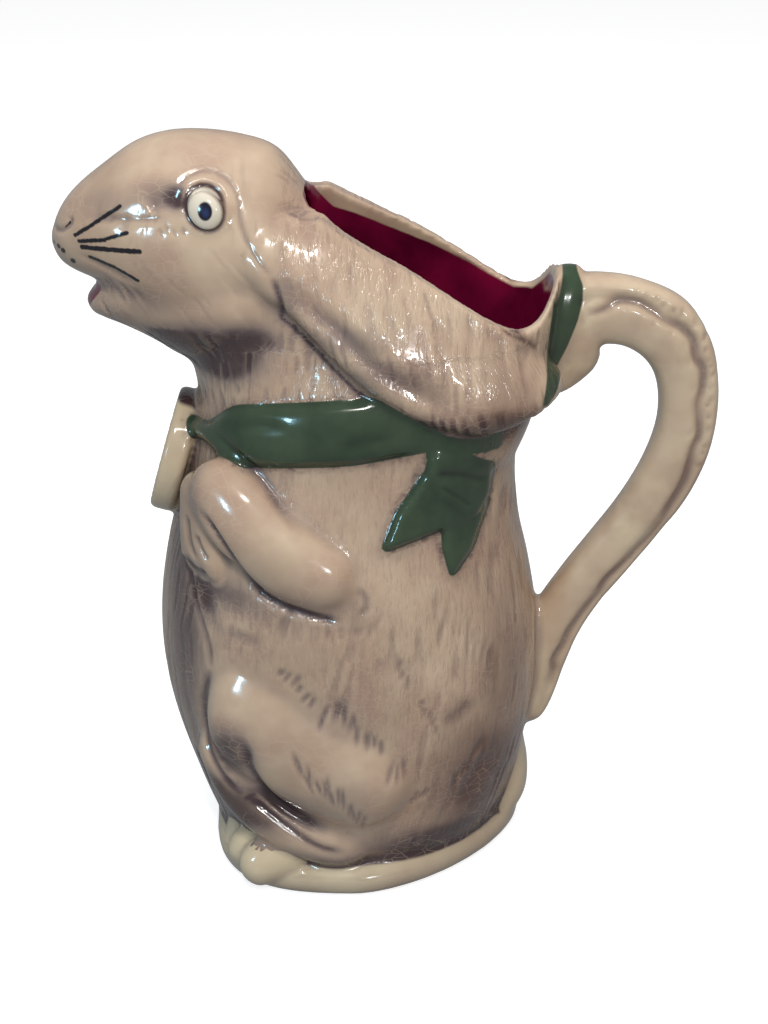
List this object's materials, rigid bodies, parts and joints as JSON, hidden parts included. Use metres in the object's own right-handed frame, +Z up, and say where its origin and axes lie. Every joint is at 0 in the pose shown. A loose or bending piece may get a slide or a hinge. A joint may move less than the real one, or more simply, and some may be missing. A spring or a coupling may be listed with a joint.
{
  "type": "pitcher",
  "caption": "Glazed majolica pitcher cast as an upright rabbit that pours through its open mouth and fills between its folded ears, with a loop handle at the back.",
  "frame": {"origin": "centre of the bounding box in plan, on the table plane under the foot ring", "axes": "+Z up through the pitcher, -X towards the rabbit's nose and its pouring mouth, +X towards the handle, +Y across to the rabbit's right side"},
  "size_m": [0.205, 0.115, 0.2362],
  "materials": {
    "glaze": "gloss"
  },
  "bodies": {
    "root": {"pitcher": "glaze"}
  },
  "joints": []
}
